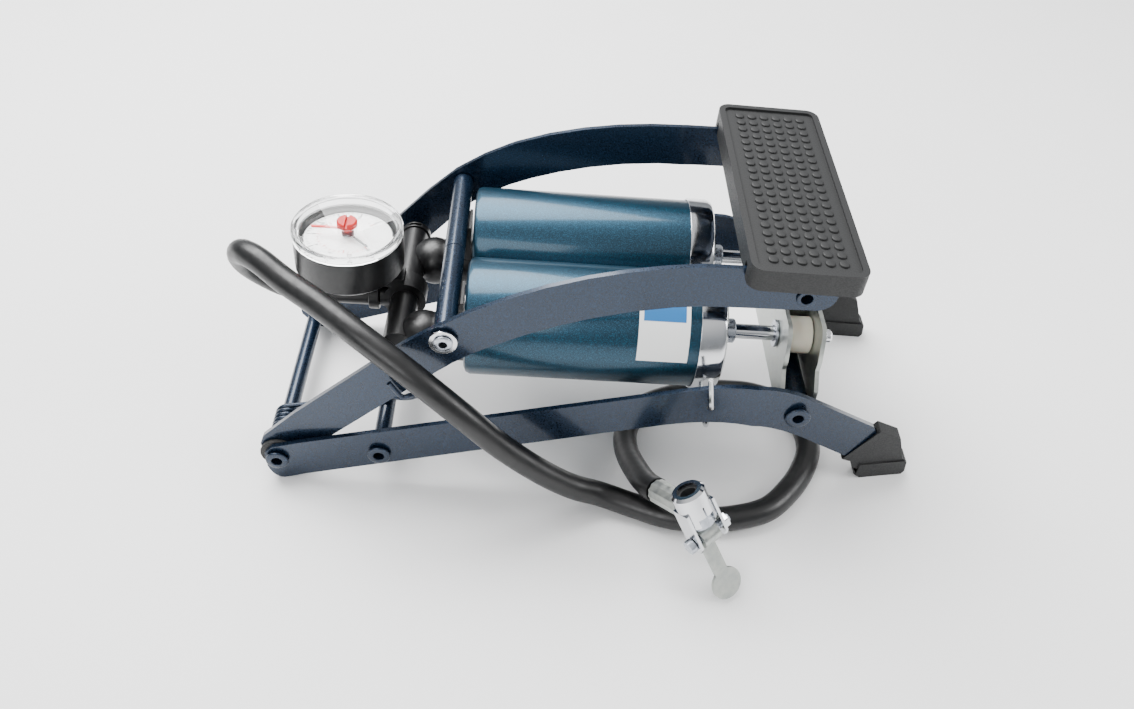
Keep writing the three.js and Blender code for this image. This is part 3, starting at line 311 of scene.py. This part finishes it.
def mm(point):
    """A point given in mm from the rear hinge, in metres in the pump's frame."""
    return ((point[0] - BACK) * MM, point[1] * MM, point[2] * MM)


def curve_through(points, steps):
    """Points along a smooth centripetal curve through the given ones."""
    given = [Vector(p) for p in points]
    given = [given[0] * 2 - given[1]] + given + [given[-1] * 2 - given[-2]]
    out = []
    for i in range(1, len(given) - 2):
        p0, p1, p2, p3 = given[i - 1:i + 3]
        d0, d1, d2 = ((b - a).length ** 0.5 for a, b in ((p0, p1), (p1, p2), (p2, p3)))
        t1 = ((p1 - p0) / d0 - (p2 - p0) / (d0 + d1) + (p2 - p1) / d1) * d1
        t2 = ((p2 - p1) / d1 - (p3 - p1) / (d1 + d2) + (p3 - p2) / d2) * d1
        for k in range(steps):
            t = k / steps
            out.append(p1 * (2 * t ** 3 - 3 * t ** 2 + 1) + t1 * (t ** 3 - 2 * t ** 2 + t)
                       + p2 * (3 * t ** 2 - 2 * t ** 3) + t2 * (t ** 3 - t ** 2))
    return out + [given[-2]]


def tube_along(name, points, radius, resolution):
    """A closed round tube along the points, as a mesh at the origin."""
    deselect_all()
    data = bpy.data.curves.new(name, "CURVE")
    data.dimensions = "3D"
    data.bevel_depth = radius
    data.bevel_resolution = resolution
    data.use_fill_caps = True
    spline = data.splines.new("POLY")
    spline.points.add(len(points) - 1)
    for point, place in zip(spline.points, points):
        point.co = (*place, 1)
    obj = bpy.data.objects.new(name, data)
    bpy.context.collection.objects.link(obj)
    take(obj)
    bpy.ops.object.convert(target="MESH")
    obj = bpy.context.object
    bpy.ops.object.mode_set(mode="EDIT")
    bpy.ops.mesh.select_all(action="SELECT")
    bpy.ops.mesh.remove_doubles(threshold=1e-6)
    bpy.ops.mesh.normals_make_consistent(inside=False)
    bpy.ops.object.mode_set(mode="OBJECT")
    bpy.ops.object.shade_smooth_by_angle(angle=math.radians(40))
    return obj


def turn_about_y(degrees, centre):
    """Tilt about a crosswise line through a point, mm from the rear hinge."""
    middle = Vector(mm(centre))
    return (Matrix.Translation(middle) @ Matrix.Rotation(math.radians(degrees), 4, "Y"))


PEDAL_PLACE = turn_about_y(PEDAL_TILT, (PEDAL_CENTRE[0], 0, PEDAL_CENTRE[1]))
CYLINDER_PLACE = turn_about_y(BARREL_TILT, (BARREL_REAR[0], 0, BARREL_REAR[1]))
GAUGE_PLACE = CYLINDER_PLACE @ Matrix.Translation((-GAUGE_BACK * MM, 0, 0))


def joined_up(name, objects, place):
    """Joins the objects into one piece and moves it by a matrix, into its mesh."""
    deselect_all()
    for obj in objects:
        obj.select_set(True)
    bpy.context.view_layer.objects.active = objects[0]
    bpy.ops.object.join()
    obj = bpy.context.object
    obj.name = name
    bpy.ops.object.transform_apply(location=True, rotation=True, scale=True)
    obj.matrix_world = place
    bpy.ops.object.transform_apply(location=True, rotation=True, scale=True)
    return obj


def copy_of(obj, location):
    """A copy with its own mesh."""
    other = obj.copy()
    other.data = obj.data.copy()
    other.location = location
    bpy.context.collection.objects.link(other)
    return other


def carry_over(name, finish, edge=0.0, angle=38, segments=2):
    """Finishes a frame node as it is: smooth round faces, softened edges, its material."""
    obj = NODES[name]
    take(obj)
    bpy.ops.mesh.customdata_custom_splitnormals_clear()
    bpy.ops.object.shade_smooth()
    weld = obj.modifiers.new("Weld", "WELD")
    weld.merge_threshold = 0.00001
    if edge:
        bevel = obj.modifiers.new("Edges", "BEVEL")
        bevel.width = edge
        bevel.segments = segments
        bevel.limit_method = "ANGLE"
        bevel.angle_limit = math.radians(angle)
        bevel.harden_normals = True
    else:
        split = obj.modifiers.new("Edges", "EDGE_SPLIT")
        split.split_angle = math.radians(angle)
    finish_with(obj, finish)


# ---------- operators ----------
class PumpStage(bpy.types.Operator):
    """Camera, floor and lights"""

    bl_idname = "pump.stage"
    bl_label = "Stage"

    def execute(self, context):
        deselect_all()
        bpy.ops.object.camera_add(location=CAMERA_PLACE,
                                  rotation=(math.radians(CAMERA_TILT), 0, 0))
        camera = context.object
        camera.data.lens = CAMERA_LENS
        camera.data.sensor_width = 36
        context.scene.camera = camera
        deselect_all()
        bpy.ops.mesh.primitive_plane_add(size=FLOOR_SIZE, location=(0, 0, -0.0002))
        floor = context.object
        floor.name = "floor"
        material, nodes, links, bsdf = shader("floor_paper", (0.94, 0.94, 0.94), 0.0, 0.75)
        vary(nodes, links, bsdf, "Roughness", noise(nodes, links, 20).outputs["Fac"], 0.65, 0.75)
        floor.data.materials.append(material)
        world = bpy.data.worlds.new("studio")
        context.scene.world = world
        world.use_nodes = True
        self.sky(world.node_tree)
        for lamp in LAMPS:
            self.lamp(*lamp)
        return {"FINISHED"}

    def sky(self, tree):
        """A studio that is bright overhead and darker towards its walls."""
        nodes, links = tree.nodes, tree.links
        place = nodes.new("ShaderNodeTexCoord")
        parts = nodes.new("ShaderNodeSeparateXYZ")
        ramp = nodes.new("ShaderNodeValToRGB")
        elements = ramp.color_ramp.elements
        elements[0].position, elements[0].color = 0.0, (0.3, 0.31, 0.32, 1)
        elements[1].position, elements[1].color = 0.75, (1, 1, 1, 1)
        middle = elements.new(0.3)
        middle.color = (0.42, 0.44, 0.46, 1)
        links.new(place.outputs["Generated"], parts.inputs["Vector"])
        links.new(parts.outputs["Z"], ramp.inputs["Fac"])
        background = nodes["Background"]
        links.new(ramp.outputs["Color"], background.inputs["Color"])
        background.inputs["Strength"].default_value = 1.0

    def lamp(self, name, place, towards, power, size):
        bpy.ops.object.light_add(type="AREA", location=place)
        lamp = bpy.context.object
        lamp.name = name
        lamp.data.energy = power
        lamp.data.size = size
        lamp.rotation_euler = (Vector(towards) - Vector(place)).to_track_quat("-Z", "Y").to_euler()


class PumpHose(bpy.types.Operator):
    """Rubber hose from the manifold to the chuck's ferrule"""

    bl_idname = "pump.hose"
    bl_label = "Hose"

    def execute(self, context):
        sizes = context.scene.pump_sizes
        path = curve_through([mm(p) for p in HOSE_POINTS], 8)
        hose = tube_along("hose", path, sizes.hose_diameter / 2, 7)
        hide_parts("hose_upper", "hose_lower")
        finish_with(hose, "hose_rubber")
        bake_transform(hose)
        return {"FINISHED"}


class PumpSpring(bpy.types.Operator):
    """Return spring of round wire, coiled on the rear axle"""

    bl_idname = "pump.spring"
    bl_label = "Return spring"

    def execute(self, context):
        wire = context.scene.pump_sizes.spring_wire
        coil = COIL_RADIUS
        first, last = math.radians(LEG_LEAVES), math.radians(90 - COIL_TURNS * 360)
        turns = (first - last) / (2 * math.pi)
        points = list(SPRING_HOOK)
        tx, tz = coil * math.cos(first), HINGE_HEIGHT + coil * math.sin(first)
        points.append((tx + 20, COIL_START, tz + 20 * math.tan(math.radians(LEG_SLOPE))))
        steps = round(turns * 16)
        for i in range(steps + 1):
            at = first + (last - first) * i / steps
            points.append((coil * math.cos(at), COIL_START + COIL_PITCH * turns * i / steps,
                           HINGE_HEIGHT + coil * math.sin(at)))
        end = COIL_START + COIL_PITCH * turns
        points += [(x, end, z) for x, z in SPRING_TAIL]
        path = curve_through([mm(p) for p in points], 3)
        spring = tube_along("return_spring_wire", path, wire / 2, 3)
        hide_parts("return_spring")
        finish_with(spring, "navy_paint")
        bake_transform(spring)
        return {"FINISHED"}


class PumpFrame(bpy.types.Operator):
    """Rails, tubes, feet and latch of the base"""

    bl_idname = "pump.frame"
    bl_label = "Base"

    def execute(self, context):
        edge = context.scene.pump_sizes.edge_radius
        for hand in ("left", "right"):
            carry_over(f"base_rail_{hand}", "navy_paint", edge)
            carry_over(f"foot_{hand}", "rubber", 0.0008, segments=3)
        for name in ("rear_axle_tube", "base_cross_tube", "front_pivot_tube"):
            carry_over(name, "navy_paint", 0.0003)
        carry_over("latch_wire", "chrome")
        return {"FINISHED"}


class PumpTreadle(bpy.types.Operator):
    """Arms, pivot tubes and pedal"""

    bl_idname = "pump.treadle"
    bl_label = "Treadle"

    def execute(self, context):
        edge = context.scene.pump_sizes.edge_radius
        for hand in ("left", "right"):
            carry_over(f"arm_{hand}", "navy_paint", edge)
            carry_over(f"hinge_washer_{hand}", "fibre", 0.0002)
            carry_over(f"pivot_tube_{hand}", "navy_paint", 0.0003)
            carry_over(f"pivot_washer_{hand}", "chrome", 0.0002)
        carry_over("cylinder_pivot_pin", "steel", 0.0002)
        carry_over("pedal_cross_tube", "navy_paint", 0.0002)
        carry_over("pedal_plate", "navy_paint", 0.0003)
        carry_over("pedal_pad", "rubber", 0.0006, segments=3)
        return {"FINISHED"}


class PumpStuds(bpy.types.Operator):
    """Studs of the pedal's tread"""

    bl_idname = "pump.studs"
    bl_label = "Pedal studs"

    def execute(self, context):
        sizes = context.scene.pump_sizes
        deselect_all()
        bpy.ops.mesh.primitive_cylinder_add(vertices=20, radius=sizes.stud_diameter / 2,
                                            depth=STUD_HEIGHT, location=(0, 0, STUD_LEVEL))
        stud = context.object
        bpy.ops.object.mode_set(mode="EDIT")
        mesh = bmesh.from_edit_mesh(stud.data)
        for face in mesh.faces:
            face.select_set(face.normal.z > 0.9)
        mesh.select_flush_mode()
        bmesh.update_edit_mesh(stud.data)
        bpy.ops.mesh.bevel(offset=0.0005, segments=3)
        bpy.ops.object.mode_set(mode="OBJECT")
        bpy.ops.object.shade_smooth_by_angle(angle=math.radians(50))
        pitch = sizes.stud_pitch
        studs = []
        for row in range(STUD_ROWS):
            for column in range(STUD_COLUMNS):
                across = (row - (STUD_ROWS - 1) / 2) * pitch
                along = (column - (STUD_COLUMNS - 1) / 2) * pitch
                studs.append(copy_of(stud, (across, along, STUD_LEVEL)))
        bpy.data.objects.remove(stud)
        tread = joined_up("pedal_studs", studs, PEDAL_PLACE)
        finish_with(tread, "rubber")
        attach(tread, "treadle")
        return {"FINISHED"}


class PumpCylinders(bpy.types.Operator):
    """Barrels, caps, rods, bracket and manifold"""

    bl_idname = "pump.cylinders"
    bl_label = "Cylinders"

    def execute(self, context):
        for hand in ("left", "right"):
            carry_over(f"barrel_{hand}", "teal_paint", 0.0003)
            carry_over(f"front_cap_{hand}", "chrome", 0.0003)
            carry_over(f"rod_bush_{hand}", "steel", 0.0002)
            carry_over(f"rear_fitting_{hand}", "black_plastic", 0.0004)
            carry_over(f"piston_{hand}", "black_plastic", 0.0002)
            carry_over(f"piston_seal_{hand}", "rubber", 0.0002)
            carry_over(f"piston_rod_{hand}", "chrome", 0.0002)
            carry_over(f"rod_washer_{hand}", "steel", 0.0002)
            carry_over(f"nylon_bush_{hand}", "nylon", 0.0005)
            carry_over(f"rod_nut_{hand}", "chrome", 0.0003)
        carry_over("rod_bracket", "zinc", 0.0004)
        carry_over("manifold", "black_plastic", 0.0004)
        carry_over("manifold_plug", "black_plastic", 0.0004)
        carry_over("hose_collar", "black_plastic", 0.0005)
        return {"FINISHED"}


class PumpLabel(bpy.types.Operator):
    """Plain sticker on the near barrel, without lettering"""

    bl_idname = "pump.label"
    bl_label = "Barrel sticker"

    def execute(self, context):
        self.patch("barrel_sticker", (78, 101), (18, 84), 27.15, "dial_white")
        self.patch("barrel_sticker_band", (80, 99), (24, 44), 27.22, "print_blue")
        return {"FINISHED"}

    @staticmethod
    def patch(name, along, turn, radius, finish):
        """A thin patch on the barrel: run along its axis in mm, turn from the top in degrees."""
        deselect_all()
        bpy.ops.mesh.primitive_grid_add(x_subdivisions=2, y_subdivisions=30, size=1)
        label = bpy.context.object
        bpy.ops.object.mode_set(mode="EDIT")
        mesh = bmesh.from_edit_mesh(label.data)
        for corner in mesh.verts:
            at = math.radians(turn[0] + (turn[1] - turn[0]) * (corner.co.y + 0.5))
            run = along[0] + (along[1] - along[0]) * (corner.co.x + 0.5)
            corner.co = Vector((run, -BARREL_SPREAD - radius * math.sin(at),
                                radius * math.cos(at))) * MM
        bmesh.update_edit_mesh(label.data)
        bpy.ops.mesh.select_all(action="SELECT")
        bpy.ops.mesh.normals_make_consistent(inside=False)
        bpy.ops.object.mode_set(mode="OBJECT")
        thick = label.modifiers.new("Thickness", "SOLIDIFY")
        thick.thickness = 0.00004
        bpy.ops.object.modifier_apply(modifier="Thickness")
        bpy.ops.object.shade_smooth_by_angle(angle=math.radians(30))
        label = joined_up(name, [label], CYLINDER_PLACE)
        finish_with(label, finish)
        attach(label, "cylinders")


class PumpGauge(bpy.types.Operator):
    """Pressure gauge with its dial, needle and marker"""

    bl_idname = "pump.gauge"
    bl_label = "Gauge"

    def execute(self, context):
        carry_over("gauge_body", "black_plastic", 0.0003)
        carry_over("gauge_dial", "dial_white")
        carry_over("gauge_lens", "clear_lens", 0.0003)
        NODES["gauge_lens"].visible_shadow = False
        carry_over("gauge_needle", "needle_grey")
        carry_over("gauge_marker", "marker_red", 0.0002)
        self.print_scale("dial_bar_marks", 20.6, 41, 5, "print_black")
        self.print_scale("dial_inner_marks", 15.2, 31, 5, "print_red")
        self.print_numbers("dial_numbers", 17.2, 8, "print_black")
        return {"FINISHED"}

    @staticmethod
    def around(turn, radius):
        """Place on the dial: turn from 0 to 1 along the scale, clockwise from lower left."""
        at = math.radians(SCALE_START + SCALE_SWEEP * turn)
        return Vector((radius * math.cos(at), radius * math.sin(at), DIAL_LEVEL + 0.06)), at

    def print_scale(self, name, radius, count, major, finish):
        marks = []
        for i in range(count):
            long = i % major == 0
            place, at = self.around(i / (count - 1), radius - (0.5 if long else 0))
            deselect_all()
            bpy.ops.mesh.primitive_cube_add(size=MM)
            mark = bpy.context.object
            mark.scale = (2.4 if long else 1.4, 0.5 if long else 0.3, 0.1)
            mark.location = place * MM
            mark.rotation_euler = (0, 0, at)
            marks.append(mark)
        printed = joined_up(name, marks, GAUGE_PLACE)
        finish_with(printed, finish)
        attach(printed, "cylinders")

    def print_numbers(self, name, radius, count, finish):
        words = []
        for i in range(count + 1):
            place, _ = self.around(i / count, radius)
            deselect_all()
            bpy.ops.object.text_add(location=place * MM)
            word = bpy.context.object
            word.data.body = str(i * 2)
            word.data.size = 2.9 * MM
            word.data.align_x = "CENTER"
            word.data.align_y = "CENTER"
            word.data.extrude = 0.04 * MM
            word.rotation_euler = (0, 0, math.radians(90))
            bpy.ops.object.convert(target="MESH")
            words.append(bpy.context.object)
        printed = joined_up(name, words, GAUGE_PLACE)
        finish_with(printed, finish)
        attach(printed, "cylinders")


class PumpChuck(bpy.types.Operator):
    """Valve chuck with its ferrule and lever"""

    bl_idname = "pump.chuck"
    bl_label = "Valve chuck"

    def execute(self, context):
        carry_over("chuck_body", "chrome")
        carry_over("chuck_core", "steel", 0.0003)
        carry_over("chuck_seal", "rubber", 0.0002)
        carry_over("hose_ferrule", "zinc", 0.0003)
        carry_over("chuck_pin", "steel", 0.0003)
        carry_over("chuck_nut", "chrome", 0.0003)
        carry_over("chuck_lever", "zinc", 0.0004)
        return {"FINISHED"}


STEPS = (PumpStage, PumpHose, PumpSpring, PumpFrame, PumpTreadle, PumpStuds, PumpCylinders,
         PumpLabel, PumpGauge, PumpChuck)


class PumpPanel(bpy.types.Panel):
    """Lists the pump's pieces in the 3D view's sidebar"""

    bl_idname = "VIEW3D_PT_foot_pump"
    bl_label = "Foot pump"
    bl_space_type = "VIEW_3D"
    bl_region_type = "UI"
    bl_category = "Foot pump"

    def draw(self, context):
        layout = self.layout
        for group in (context.scene.pump_sizes, context.scene.pump_colours):
            for name in group.__annotations__:
                layout.prop(group, name)
        for step in STEPS:
            layout.operator(step.bl_idname)


CLASSES = (PumpSizes, PumpColours, *STEPS, PumpPanel)


def register():
    for item in CLASSES:
        bpy.utils.register_class(item)
    bpy.types.Scene.pump_sizes = bpy.props.PointerProperty(type=PumpSizes)
    bpy.types.Scene.pump_colours = bpy.props.PointerProperty(type=PumpColours)


def unregister():
    del bpy.types.Scene.pump_sizes
    del bpy.types.Scene.pump_colours
    for item in reversed(CLASSES):
        bpy.utils.unregister_class(item)


def main():
    register()
    for step in STEPS:
        group, name = step.bl_idname.split(".")
        getattr(getattr(bpy.ops, group), name)()


if __name__ == "__main__":
    main()
